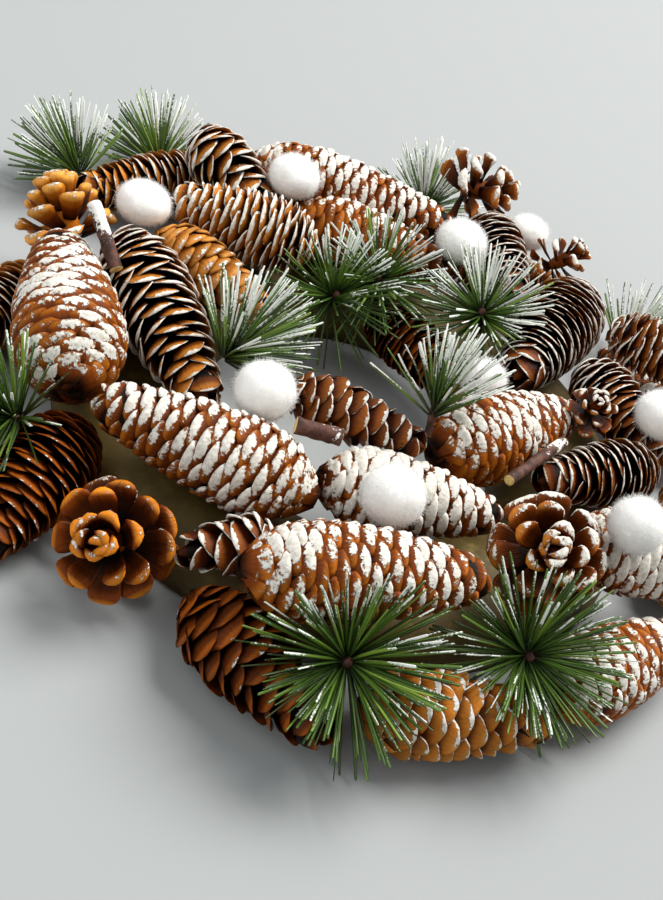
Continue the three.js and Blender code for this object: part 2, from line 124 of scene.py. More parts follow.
def repeatFaces(faces, copies, pointsEach):
    # one copy's faces, their point numbers moved on for each further copy
    return (faces[None] + (np.arange(copies) * pointsEach)[:, None, None]).reshape(-1, faces.shape[1])


def closedTubes(body, root, tip):
    # body is copies x rings x around x values, root and tip are copies x values
    copies, rings, around, depth = body.shape
    return np.concatenate([body.reshape(copies, rings * around, depth), root[:, None], tip[:, None]], 1)


class Shape:
    # collects closed tubes with the marks that the materials read
    def __init__(self):
        self.points, self.quads, self.tris, self.uv, self.marks = [], [], [], [], {}
        self.count = 0

    def add(self, points, quads, tris, uv, **marks):
        # points is copies x pointsEach x 3, and the faces belong to one copy
        copies, each = points.shape[:2]
        self.quads.append(repeatFaces(quads, copies, each) + self.count)
        self.tris.append(repeatFaces(tris, copies, each) + self.count)
        self.points.append(points.reshape(-1, 3))
        self.uv.append(np.broadcast_to(uv, (copies, each, 2)).reshape(-1, 2))
        for key, values in marks.items():
            self.marks.setdefault(key, []).append(np.broadcast_to(values, (copies, each)).reshape(-1))
        self.count += copies * each

    def piece(self, name, node, slotName, material):
        # one mesh object in metres, in place of a node of the frame
        points, quads, tris = (np.concatenate(part) for part in (self.points, self.quads, self.tris))
        mesh = bpy.data.meshes.new(name)
        corners = np.concatenate([quads.ravel(), tris.ravel()]).astype(np.int32)
        sizes = np.concatenate([np.full(len(quads), 4), np.full(len(tris), 3)])
        starts = np.concatenate([[0], np.cumsum(sizes)[:-1]]).astype(np.int32)
        mesh.vertices.add(len(points))
        mesh.vertices.foreach_set("co", (points / perMetre).astype(np.float32).ravel())
        mesh.loops.add(len(corners))
        mesh.loops.foreach_set("vertex_index", corners)
        mesh.polygons.add(len(sizes))
        mesh.polygons.foreach_set("loop_start", starts)
        mesh.polygons.foreach_set("use_smooth", np.ones(len(sizes), bool))
        layer = mesh.uv_layers.new(name="UVMap")
        layer.data.foreach_set("uv", np.concatenate(self.uv)[corners].astype(np.float32).ravel())
        for key, values in self.marks.items():
            mark = mesh.attributes.new(key, "FLOAT", "POINT")
            mark.data.foreach_set("value", np.concatenate(values).astype(np.float32))
        mesh.update(calc_edges=True)
        mesh.validate()
        mesh.materials.append(material)
        piece = bpy.data.objects.new(name, mesh)
        bpy.context.scene.collection.objects.link(piece)
        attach(piece, "root")
        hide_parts(node)
        return piece


# material helpers

def linear(red, green, blue):
    # screen colour from 0 to 255 turned into light: the power 2.4, and a straight line for the darkest tones
    tones = (red, green, blue)
    return tuple(((c / 255 + 0.055) / 1.055) ** 2.4 if c > 10 else c / 3295 for c in tones) + (1.0,)


class Paint:
    # a material with its node tree and short ways to add to it
    def __init__(self, name, **shader):
        self.material = bpy.data.materials.new(name)
        self.material.use_nodes = True
        self.tree = self.material.node_tree
        self.shader = self.tree.nodes["Principled BSDF"]
        for key, value in shader.items():
            self.shader.inputs[key.replace("_", " ")].default_value = value
        self.place = self.tree.nodes.new("ShaderNodeTexCoord").outputs["Object"]

    def put(self, socket, value):
        # another node's output is linked, and anything else is the socket's own value
        if isinstance(value, bpy.types.NodeSocket):
            self.tree.links.new(value, socket)
        else:
            socket.default_value = value

    def calc(self, operation, *values, clamp=False):
        node = self.tree.nodes.new("ShaderNodeMath")
        node.operation = operation
        node.use_clamp = clamp
        for socket, value in zip(node.inputs, values):
            self.put(socket, value)
        return node.outputs[0]

    def total(self, *terms):
        # the sum of values times weights, each term being (value, weight)
        result = 0.0
        for value, weight in terms:
            result = self.calc("MULTIPLY_ADD", value, weight, result)
        return result

    def ease(self, value, low, high):
        # 0 at low, 1 at high, and a smooth step between them
        node = self.tree.nodes.new("ShaderNodeMapRange")
        node.interpolation_type = "SMOOTHSTEP"
        self.put(node.inputs["Value"], value)
        node.inputs["From Min"].default_value = low
        node.inputs["From Max"].default_value = high
        return node.outputs["Result"]

    def noise(self, scale, detail=3.0, rough=0.55, vector=None):
        # noise from 0 to 1, with scale cells to a metre
        node = self.tree.nodes.new("ShaderNodeTexNoise")
        node.inputs["Scale"].default_value = scale
        node.inputs["Detail"].default_value = detail
        node.inputs["Roughness"].default_value = rough
        self.put(node.inputs["Vector"], vector or self.place)
        return node.outputs["Fac"]

    def mark(self, name):
        # a value that the shape carries at each point
        node = self.tree.nodes.new("ShaderNodeAttribute")
        node.attribute_name = name
        return node.outputs["Fac"]

    def along(self):
        # the piece's own map: share along the shape and place across it
        node = self.tree.nodes.new("ShaderNodeUVMap")
        node.uv_map = "UVMap"
        split = self.tree.nodes.new("ShaderNodeSeparateXYZ")
        self.put(split.inputs[0], node.outputs[0])
        return split.outputs[0], split.outputs[1]

    def vector(self, x, y, z=0.0):
        node = self.tree.nodes.new("ShaderNodeCombineXYZ")
        for socket, value in zip(node.inputs, (x, y, z)):
            self.put(socket, value)
        return node.outputs[0]

    def ramp(self, value, *stops):
        node = self.tree.nodes.new("ShaderNodeValToRGB")
        node.color_ramp.interpolation = "EASE"
        while len(node.color_ramp.elements) < len(stops):
            node.color_ramp.elements.new(0.5)
        for element, (place, colour) in zip(node.color_ramp.elements, stops):
            element.position = place
            element.color = colour
        self.put(node.inputs[0], value)
        return node.outputs[0]

    def blend(self, share, first, second, kind="MIX"):
        node = self.tree.nodes.new("ShaderNodeMix")
        node.data_type = "RGBA"
        node.blend_type = kind
        self.put(node.inputs[0], share)
        self.put(node.inputs[6], first)
        self.put(node.inputs[7], second)
        return node.outputs[2]

    def bump(self, height, depth, strength=1.0):
        node = self.tree.nodes.new("ShaderNodeBump")
        node.inputs["Distance"].default_value = depth
        node.inputs["Strength"].default_value = strength
        self.put(node.inputs["Height"], height)
        self.put(self.shader.inputs["Normal"], node.outputs[0])

    def finish(self, colour=None, rough=None):
        if colour is not None:
            self.put(self.shader.inputs["Base Color"], colour)
        if rough is not None:
            self.put(self.shader.inputs["Roughness"], rough)
        return self.material


snowWhite = linear(234, 232, 225)
snowShade = linear(204, 197, 184)

# scales: colours from the hidden root, whose dark colour is painted shade, to the rim, where each one sits,
# and how the white flocking lies
scaleLooks = {
    "closed": dict(deep=(20, 7, 1), body=(110, 50, 7), light=(164, 92, 20), rim=(126, 66, 15),
                   rootShadeTo=0.52, bodyAt=0.76, lightAt=0.92, outer=0.0, inner=0.0, rough=0.55,
                   patchAt=0.91, patchLong=0.17, patchWide=1.05, rimSnow=0.0),
    "pale": dict(deep=(50, 22, 4), body=(138, 80, 24), light=(190, 128, 56), rim=(182, 124, 62),
                 rootShadeTo=0.34, bodyAt=0.66, lightAt=0.9, outer=0.0, inner=0.0, rough=0.45,
                 patchAt=0.94, patchLong=0.13, patchWide=0.9, rimSnow=0.2),
    # a darker copy of the closed colours: the cones' own dark orange-brown, and painted shade for cones that
    # lie in shadow
    "shadedAmber": dict(deep=(14, 5, 1), body=(84, 36, 4), light=(140, 70, 10), rim=(104, 50, 10),
                  rootShadeTo=0.5, bodyAt=0.76, lightAt=0.9, outer=0.0, inner=0.0, rough=0.42,
                  patchAt=0.96, patchLong=0.1, patchWide=0.9, rimSnow=0.4),
    "open": dict(deep=(10, 4, 1), body=(100, 48, 9), light=(178, 108, 34), rim=(192, 136, 66),
                 rootShadeTo=0.38, bodyAt=0.62, lightAt=0.86, outer=0.04, inner=0.35, rough=0.5,
                 patchAt=0.97, patchLong=0.12, patchWide=1.5, rimSnow=1.0),
    "umber": dict(deep=(12, 4, 2), body=(70, 27, 8), light=(132, 72, 24), rim=(190, 132, 62),
                  rootShadeTo=0.3, bodyAt=0.6, lightAt=0.9, outer=0.0, inner=0.35, rough=0.5,
                  patchAt=0.97, patchLong=0.12, patchWide=1.5, rimSnow=1.0),
    "pineGold": dict(deep=(14, 5, 1), body=(72, 29, 2), light=(124, 56, 6), rim=(216, 128, 32),
                     rootShadeTo=0.36, bodyAt=0.7, lightAt=0.92, outer=0.22, inner=0.35, rough=0.4,
                     patchAt=0.97, patchLong=0.1, patchWide=1.3, rimSnow=1.0),
    "pineHoney": dict(deep=(24, 9, 1), body=(112, 52, 6), light=(180, 102, 22), rim=(226, 158, 66),
                      rootShadeTo=0.3, bodyAt=0.62, lightAt=0.85, outer=0.1, inner=0.3, rough=0.45,
                      patchAt=0.97, patchLong=0.1, patchWide=1.3, rimSnow=1.0),
    "pineDark": dict(deep=(16, 5, 1), body=(78, 32, 3), light=(122, 58, 9), rim=(180, 106, 34),
                     rootShadeTo=0.34, bodyAt=0.66, lightAt=0.9, outer=0.14, inner=0.3, rough=0.42,
                     patchAt=0.97, patchLong=0.1, patchWide=1.3, rimSnow=1.0),
}


def woodColour(paint, look, u, face, tint, fibres):
    # colours along the scale from the painted shade at its root, a little farther on its outer face, times a
    # grey of noise and the scale's tint
    reach = paint.calc("MULTIPLY_ADD", paint.calc("MAXIMUM", face, 0.0), look["outer"], u)
    # deep is painted shade on the part of each scale that lies under the others
    deep, body, light, rim = (linear(*look[key]) for key in ("deep", "body", "light", "rim"))
    wood = paint.ramp(reach, (0.0, deep), (look["rootShadeTo"], deep), (look["bodyAt"], body),
                      (look["lightAt"], light), (1.0, rim))
    inside = paint.calc("MINIMUM", face, 0.0)
    shade = paint.total((tint, 0.55), (fibres, 0.9), (paint.noise(150.0, 2.0), 0.6), (inside, look["inner"]),
                        (1.0, -0.02))
    return paint.blend(1.0, wood, paint.vector(shade, shade, shade), "MULTIPLY")


def whiteShare(paint, look, u, v, cover, fine, fibres):
    # the white lies in a leaf-shaped patch: one less the squares of the distances from its middle
    lengthways = paint.calc("DIVIDE", paint.calc("SUBTRACT", u, look["patchAt"]), look["patchLong"])
    crossways = paint.calc("DIVIDE", v, look["patchWide"])
    patch = paint.total((paint.calc("MULTIPLY", lengthways, lengthways), -1.0),
                        (paint.calc("MULTIPLY", crossways, crossways), -1.0), (1.0, 1.0))
    patch = paint.calc("MAXIMUM", patch, -1.2)
    # on open scales it follows the rim: the end of the scale, or its side edges near the end
    side = paint.calc("ABSOLUTE", v)
    sideEdge = paint.calc("MULTIPLY", paint.ease(side, 0.78, 1.0), paint.ease(u, 0.5, 0.8))
    rimBand = paint.calc("MAXIMUM", paint.ease(u, 0.78, 0.98), sideEdge)
    onRim = look["rimSnow"]
    snow = paint.total((patch, 0.44 * (1 - onRim)), (rimBand, onRim), (1.0, -0.42 * onRim), (cover, 1.0),
                       (paint.calc("SUBTRACT", fine, 0.5), 1.2), (paint.calc("SUBTRACT", fibres, 0.5), 0.5))
    return paint.ease(snow, 0.42, 0.56)


def scalePaint(name, look):
    # wood under white flocking, which is rougher and stands up a little
    paint = Paint(name, Specular_IOR_Level=0.1)
    u, v = paint.along()
    tint = paint.mark("tint")
    fibreLong = paint.calc("MULTIPLY_ADD", u, 2.2, paint.calc("MULTIPLY", tint, 9.0))
    fibreWide = paint.calc("MULTIPLY_ADD", v, 7.0, paint.calc("MULTIPLY", tint, 31.0))
    fibres = paint.noise(1.0, 4.0, 0.6, paint.vector(fibreLong, fibreWide))
    fine = paint.noise(620.0, 4.0, 0.62)
    wood = woodColour(paint, look, u, paint.mark("face"), tint, fibres)
    mask = whiteShare(paint, look, u, v, paint.mark("cover"), fine, fibres)
    white = paint.blend(paint.ease(fine, 0.35, 0.7), snowShade, snowWhite)
    rough = paint.total((mask, 0.92 - look["rough"]), (fibres, 0.12), (1.0, look["rough"] - 0.05))
    paint.bump(paint.total((fibres, 0.45), (mask, 0.8), (fine, 0.35)), 0.0009, 0.8)
    return paint.finish(paint.blend(mask, wood, white), rough)


scalePaints = {look: scalePaint(look + "Scale", values) for look, values in scaleLooks.items()}


# cone scales: a tube with a flat oval section along a bent path, for all scales of a cone at once
tube = {
    "rings": np.array([0.12, 0.46, 0.66, 0.8, 0.89, 0.95, 0.985]),  # shares of the scale's length
    "around": 10, "pathSteps": 24, "floorGap": 0.1,
    "patchSize": 15.0, "fleckSize": 5.0, "flecks": 0.13, "moundSize": 1.7, "moundLumps": 0.4,
}
tubeQuads, tubeTris = tubeFaces(len(tube["rings"]), tube["around"])


def scalePath(rootAngle, tipAngle, length, shares, bend):
    # the angle to the axis goes from the root's to the tip's with a power of the share,
    # and the steps along it add up to the path, which ends at 0, 0
    fineShares = np.linspace(0, 1, tube["pathSteps"] + 1)
    angle = rootAngle[:, None] + (tipAngle - rootAngle)[:, None] * fineShares ** bend
    step = length[:, None] / tube["pathSteps"]
    axial = np.cumsum(np.cos(angle) * step, 1)
    radial = np.cumsum(np.sin(angle) * step, 1)
    axial -= axial[:, -1:]
    radial -= radial[:, -1:]

    def at(values):
        return np.stack([np.interp(shares, fineShares, row) for row in values])
    return at(axial), at(radial), at(angle)


def scaleOutline(look, shares):
    # width: a straight rise to the widest place, then a rounded end, one less the power of the rest
    widest, power = look["widest"], look["endPower"]
    rise = look["rootWidth"] + (1 - look["rootWidth"]) * np.clip(shares / widest, 0, 1)
    fall = (1 - np.clip((shares - widest) / (1 - widest), 0, 1) ** power) ** (1 / power)
    # thickness: half a sine wave on an even part, and a lip towards the end
    body = 0.55 + 0.45 * np.sin(math.pi * shares) + look["lip"] * smoothStep(0.7, 0.92, shares)
    return rise * fall, body


def flocking(look, points, facing, pointing, snow):
    # white settles on what faces up and on the scales that point up, with soft patches of more and less
    cover = look["snowGain"] * (snow - 0.5) + look["snowUp"] * (facing[..., 2] - look["snowFrom"])
    cover = cover + look["snowTips"] * pointing
    cover = cover + look["snowLumps"] * lumpNoise(points, tube["patchSize"], 3)
    return cover + tube["flecks"] * lumpNoise(points, tube["fleckSize"], 5)


def addScales(shape, place, look, scales, snow, rng, hidden=1.0):
    # place is (centre, axis, side, over); scales holds arrays with one entry for each scale: the place of its
    # tip (axial, radius, turn), its angles to the axis (root, tip), and its length, halfWidth and thick
    centre, axis, side, over = place
    count = len(scales["turn"])
    alpha = np.arange(tube["around"]) / tube["around"] * 2 * math.pi
    shares = np.concatenate([[0.0], tube["rings"], [1.0]])
    axial, radial, angle = scalePath(scales["root"], scales["tip"], scales["length"], shares, look["bend"])
    width, body = scaleOutline(look, shares)

    def each(key):
        return scales[key][:, None, None]
    # the section: its edges are ragged, and it is cupped round the cone, twisted and wavy
    edge = look["ragged"] * rng.uniform(-1, 1, (count, len(shares), 1))
    ragged = 1 + edge * smoothStep(0.7, 0.95, shares)[None, :, None]
    across = each("halfWidth") * width[None, :, None] * np.cos(alpha) * ragged
    half = 0.5 * each("thick") * body[None, :, None] * np.sqrt(np.maximum(width, 0.02))[None, :, None]
    wrap = np.maximum(each("radius"), look["wrapLeast"])
    twist = rng.uniform(-look["twist"], look["twist"], count)[:, None, None]
    wavy = look["wavy"] * rng.normal(0, 1, (count, 1, 1)) * (across / each("halfWidth")) ** 3
    lift = half * np.sin(alpha) - look["cup"] * across ** 2 / (2 * wrap) + twist * across + wavy
    # the section's own directions, then its points: along the axis, out from it and aside
    normalAxial, normalRadial = -np.sin(angle)[:, :, None], np.cos(angle)[:, :, None]
    turn = scales["turn"][:, None]
    outwards = (np.cos(turn) * side + np.sin(turn) * over)[:, None, None, :]
    aside = (-np.sin(turn) * side + np.cos(turn) * over)[:, None, None, :]
    normal = normalAxial[..., None] * axis + normalRadial[..., None] * outwards
    facing = np.sin(alpha)[None, None, :, None] * normal + np.cos(alpha)[None, None, :, None] * aside
    x = each("axial") + axial[:, :, None] + normalAxial * lift
    r = each("radius") + radial[:, :, None] + normalRadial * lift
    points = centre + x[..., None] * axis + r[..., None] * outwards + across[..., None] * aside
    pointing = np.cos(each("tip")) * axis[2] + np.sin(each("tip")) * outwards[..., 2]
    cover = flocking(look, points, facing, pointing, snow)
    mound = look["snowDepth"] * smoothStep(0.0, 0.6, cover) * smoothStep(0.6, 0.85, shares)[None, :, None]
    lumps = 1 + tube["moundLumps"] * lumpNoise(points, tube["moundSize"], 8)
    points = points + (mound * lumps)[..., None] * facing
    points[..., 2] += np.maximum(0, tube["floorGap"] - points[..., 2].min(axis=(1, 2)))[:, None, None]
    pointsEach = len(tube["rings"]) * tube["around"] + 2
    tint = np.broadcast_to(rng.uniform(0, 1, count)[:, None], (count, pointsEach))

    def packed(values):
        return closedTubes(values[:, 1:-1], values[:, 0, 0], values[:, -1, 0])
    # scales that no other one covers show less of the painted shade at the root
    shown = 1 - (1 - shares[None]) * (np.ones(count) * hidden)[:, None]
    uvGrid = np.stack(np.broadcast_arrays(shown[:, :, None], np.cos(alpha)), -1)
    uv = closedTubes(uvGrid[:, 1:-1], uvGrid[:, 0, 0] * [1, 0], uvGrid[:, -1, 0] * [1, 0])
    sides = np.zeros(points.shape[:3] + (1,)) + np.sin(alpha)[:, None]
    shape.add(packed(points), tubeQuads, tubeTris, uv, tint=tint, cover=packed(cover[..., None])[..., 0],
              face=packed(sides)[..., 0])


def addSpindle(shape, place, axial, radius, share, cover):
    # a body of revolution round the axis: radius is given at each axial place
    centre, axis, side, over = place
    around = 16
    alpha = np.arange(around) / around * 2 * math.pi
    ray = np.cos(alpha)[:, None] * side - np.sin(alpha)[:, None] * over
    points = centre + axial[:, None, None] * axis + radius[:, None, None] * ray
    quads, tris = tubeFaces(len(axial) - 2, around)
    body = closedTubes(points[None, 1:-1], points[None, 0, 0], points[None, -1, 0])
    shares = np.zeros((len(axial), around)) + np.reshape(share, (-1, 1))
    grid = np.stack(np.broadcast_arrays(shares, 0.0), -1)[None]
    uv = closedTubes(grid[:, 1:-1], grid[:, 0, 0], grid[:, -1, 0])
    shape.add(body, quads, tris, uv, tint=0.5, cover=cover, face=0.0)


# spruce cones: length, place and axis come from the frame, the look and the snow are chosen
spruce = {
    "shoulder": 0.3, "taperFrom": 0.3, "taper": 0.62, "taperPower": 1.8, "dome": 0.1, "domeDrop": 0.93,
    "plump": 1.06,
    "steepest": (-70, 78),  # degrees of the outline at the tip and at the stalk
    "tipMost": 106, "liftVaried": 3.5, "settled": (0.02, 0.2), "closing": (0.8, 0.95), "closeDrop": 0.6,
    "leastLength": 3.5, "tipLonger": 4.5, "leastRadius": 1.2, "bareCore": 0.86,
    "looks": {  # lift, curl and flare are in degrees, scaleArea in square millimetres for each scale
        "closed": dict(lift=15, curl=50, flare=0, length=15.5, halfWidth=8.6, thick=1.7, core=0.64,
                       scaleArea=68, bend=0.55, widest=0.77, rootWidth=0.5, endPower=2.0, lip=0.45, cup=1.0,
                       wrapLeast=5.0, ragged=0.07, twist=0.1, wavy=0.3, snowGain=0.85, snowUp=0.5,
                       snowFrom=0.42, snowTips=0.05, snowLumps=0.4, snowDepth=0.9),
        "pale": dict(lift=20, curl=48, flare=0, length=15.0, halfWidth=7.8, thick=1.6, core=0.6, scaleArea=66,
                     bend=0.6, widest=0.74, rootWidth=0.5, endPower=2.0, lip=0.5, cup=1.0, wrapLeast=5.0,
                     ragged=0.12, twist=0.16, wavy=0.5, snowGain=0.85, snowUp=0.45, snowFrom=0.5,
                     snowTips=0.05, snowLumps=0.3, snowDepth=0.7),
        "shingle": dict(lift=25, curl=28, flare=14, length=17.5, halfWidth=8.4, thick=0.8, core=0.42,
                        scaleArea=84, bend=0.9, widest=0.64, rootWidth=0.45, endPower=1.6, lip=0.1, cup=0.9,
                        wrapLeast=6.0, ragged=0.14, twist=0.24, wavy=0.7, snowGain=0.9, snowUp=0.3,
                        snowFrom=0.25, snowTips=0.1, snowLumps=0.34, snowDepth=0.5),
        "open": dict(lift=46, curl=16, flare=0, length=16.5, halfWidth=9.0, thick=0.75, core=0.45,
                     scaleArea=66, bend=0.8, widest=0.64, rootWidth=0.45, endPower=2.2, lip=0.15, cup=0.9,
                     wrapLeast=6.0, ragged=0.12, twist=0.12, wavy=0.5, snowGain=0.9, snowUp=0.3,
                     snowFrom=0.25, snowTips=0.1, snowLumps=0.34, snowDepth=0.4, squareRoots=True),
    },
    "cones": {  # shape, colours, snow, and for some their own lift
        "01": ("open", "shadedAmber", 0.25), "02": ("shingle", "shadedAmber", 0.2), "03": ("shingle", "open", 0.40),
        "04": ("closed", "closed", 0.74), "05": ("open", "open", 0.55, 86), "06": ("closed", "closed", 0.45),
        "07": ("open", "open", 0.42, 70), "08": ("open", "open", 0.38), "09": ("open", "open", 0.42),
        "10": ("closed", "closed", 0.82), "11": ("closed", "closed", 0.60), "12": ("shingle", "umber", 0.86),
        "13": ("closed", "closed", 0.64), "14": ("shingle", "open", 0.78), "15": ("pale", "pale", 0.45),
        "16": ("open", "open", 0.8, 60), "17": ("shingle", "open", 0.95), "18": ("closed", "closed", 0.72),
        "19": ("open", "umber", 0.60), "20": ("open", "umber", 0.56, 40), "21": ("closed", "closed", 0.62),
        "22": ("closed", "closed", 0.90), "23": ("shingle", "umber", 0.56), "24": ("open", "umber", 0.56, 60),
        "25": ("open", "umber", 0.56, 48), "26": ("open", "umber", 0.58, 44),
        "27": ("closed", "closed", 0.95), "28": ("closed", "closed", 0.45), "29": ("open", "shadedAmber", 0.30),
    },
}
coneSlots = {
    "closed": "closed_cone", "pale": "pale_cone", "open": "open_cone", "shingle": "open_cone",
    # these cones are named apart from their shape
    "02": "pale_cone", "03": "closed_cone", "12": "closed_cone",
}


def spruceRadius(share):
    # a quarter of an ellipse for the shoulder, then a taper that quickens to the tip
    shoulder = np.sqrt(1 - np.clip(1 - share / spruce["shoulder"], 0, 1) ** 2)
    tapered = np.clip((share - spruce["taperFrom"]) / (1 - spruce["taperFrom"]), 0, 1)
    return shoulder * (1 - spruce["taper"] * tapered ** spruce["taperPower"])


def longAxis(points):
    # the direction of greatest spread, from the fuller end to the slimmer one
    middle = points.mean(0)
    axis = np.linalg.svd(points - middle)[2][0]
    along = (points - middle) @ axis
    out = np.linalg.norm(points - middle - along[:, None] * axis, axis=1)
    if along[out > 0.9 * out.max()].mean() > 0:
        axis, along = -axis, -along
    centre = middle + axis * (along.max() + along.min()) / 2
    return centre, axis, along.max() - along.min(), out.max()


def sprucePlace(node):
    # the cone's own axes, then its length and half width
    centre, axis, length, radius = longAxis(nodePoints(node))
    return (centre, axis, *crossAxes(axis)), length, radius


def coneOutline(length, radius):
    # the half width, rounded to a dome at the tip, the angle at which it rises, and the surface up to each
    # place: half widths times the steps of the outline, added up
    fine = np.linspace(0.0, 1.0, 240)
    dome = np.clip((fine - 1 + spruce["dome"]) / spruce["dome"], 0, 1)
    outline = radius * spruceRadius(fine) * np.sqrt(1 - spruce["domeDrop"] * dome ** 2)
    rise, run = np.gradient(outline), np.gradient(fine * length)
    slope = np.clip(np.arctan2(rise, run), *np.radians(spruce["steepest"]))
    return fine, outline, slope, np.cumsum(outline * np.hypot(rise, run))


def spruceScales(look, opened, length, radius, snow, rng):
    # the scale tips share the surface evenly, a golden angle apart
    fine, outline, slope, area = coneOutline(length, radius)
    count = int(2 * math.pi * area[-1] / look["scaleArea"])
    shares = 0.01 + 0.99 * np.interp((np.arange(count) + 0.5) / count, area / area[-1], fine)
    local = np.interp(shares, fine, outline)
    size = 0.6 + 0.4 * local / radius
    turn = np.arange(count) * goldenTurn + rng.uniform(0, 6) + rng.uniform(-0.06, 0.06, count)
    lift = (opened or look["lift"]) * (0.7 + 0.3 * size) + look["flare"] * shares ** 2
    lift = lift + rng.normal(0, spruce["liftVaried"], count)
    # scales round the stalk lie flat on the cone's end, with their roots at its middle,
    # and the last ones close in over its tip
    settled = smoothStep(*spruce["settled"], shares)
    lift = lift * (1 - spruce["closeDrop"] * smoothStep(*spruce["closing"], shares))
    tip = np.interp(shares, fine, slope) + np.radians(lift) * (0.25 + 0.75 * settled)
    tip = np.minimum(tip, math.radians(spruce["tipMost"]))
    curl = np.full(count, look["curl"])
    if look.get("squareRoots"):
        curl = np.clip(90 - np.degrees(tip), -4, curl)
    root = tip + np.radians(curl) * settled
    # a scale is as long as its path from the core needs, within limits
    steep = np.sin(np.clip((tip + root) / 2, math.radians(28), math.radians(150)))
    longest = look["length"] * size * rng.uniform(0.94, 1.06, count)
    shortest = spruce["leastLength"] + spruce["tipLonger"] * smoothStep(0.84, 0.96, shares)
    scaleLength = np.clip((local - 0.1 * radius) / steep, shortest, longest)
    thick = look["thick"] * size
    tipRadius = np.maximum(local - 0.45 * thick - 0.6 * look["snowDepth"] * snow, spruce["leastRadius"])
    halfWidth = look["halfWidth"] * size * rng.uniform(0.88, 1.06, count)
    scales = dict(axial=(shares - 0.5) * length, radius=tipRadius, turn=turn, root=root, tip=tip,
                  length=scaleLength, halfWidth=halfWidth, thick=thick)
    # the second value sets how much of the painted shade at the root each scale shows
    return scales, 0.5 + 0.5 * smoothStep(0.06, 0.24, shares)


def addConeCore(shape, place, look, length, radius, snow):
    # a share of the outline, fuller and as brown as the scales at the stalk, where they leave it bare, and in
    # its middle dark with the painted shade of the scales' roots
    fine, outline, _, _ = coneOutline(length, radius)
    axial = np.linspace(-0.485, 0.47, 24)
    fuller = (spruce["bareCore"] - look["core"]) * smoothStep(-0.38, -0.47, axial)
    core = np.interp(axial + 0.5, fine, outline) * (look["core"] + fuller)
    core[[0, -1]] = 0
    core = core * (1 - 0.5 * smoothStep(0.3, 0.45, axial))
    # low shares give the core's middle the scales' painted root shade
    coreShadeShare = 0.2 + 0.55 * smoothStep(0.32, 0.46, np.abs(axial))
    addSpindle(shape, place, axial * length, core, coreShadeShare, snow - 1.0)


def spruceCone(number, lookName, paintName, snow, opened=None):
    # scales over a core, a little plumper than the node so that the scale tips reach its outline
    node = "spruce_cone_" + number
    rng = np.random.default_rng(1000 + int(number))
    look = spruce["looks"][lookName]
    place, length, radius = sprucePlace(node)
    radius = radius * spruce["plump"]
    shape = Shape()
    scales, hidden = spruceScales(look, opened, length, radius, snow, rng)
    addScales(shape, place, look, scales, snow, rng, hidden)
    addConeCore(shape, place, look, length, radius, snow)
    slotName = coneSlots.get(number, coneSlots[lookName])
    return shape.piece("spruceCone" + number, node, slotName, scalePaints[paintName])


for number, values in spruce["cones"].items():
    spruceCone(number, *values)
print("spruce cones made:", len(spruce["cones"]))


# open pine cones: scales spread from a slim core, their tips lie where the frame's own scales end
pine = {
    "firstRoot": -0.3, "rootSpan": 0.48, "openAngle": 114, "closeAngle": 4, "reachDrop": 0.46,
    "widthDrop": 0.56, "scaleWidth": 0.3, "thick": 0.042, "thickDrop": 0.35, "core": 0.11, "jitter": 7.0,
    "scales": 28,
    "small": 35, "smallScales": 20,  # cones up to this width have fewer scales
    "rootMore": 14, "tipLess": 12,  # degrees by which a scale's ends differ from its opening
    "look": dict(bend=0.7, widest=0.82, rootWidth=0.34, endPower=2.6, lip=1.9, cup=2.4, wrapLeast=9.0,
                 ragged=0.06, twist=0.2, wavy=0.3, snowGain=0.85, snowUp=0.3, snowFrom=0.45, snowTips=0.3,
                 snowLumps=0.25, snowDepth=0.8),
    "cones": {  # heading, pitch, length, width, snow, colours, and for one its own open angle and scales
        "01": (262, 40, 36, 50, 0.06, "pineGold"), "02": (265, 48, 38, 52, 0.34, "pineDark"),
        "03": (150, 50, 38, 49, 0.18, "pineHoney", 78, 30), "04": (25, 10, 36, 44, 0.56, "pineDark"),
        "05": (20, 45, 26, 31, 0.50, "pineDark"), "06": (270, 60, 18, 24, 0.35, "pineGold"),
    },
}


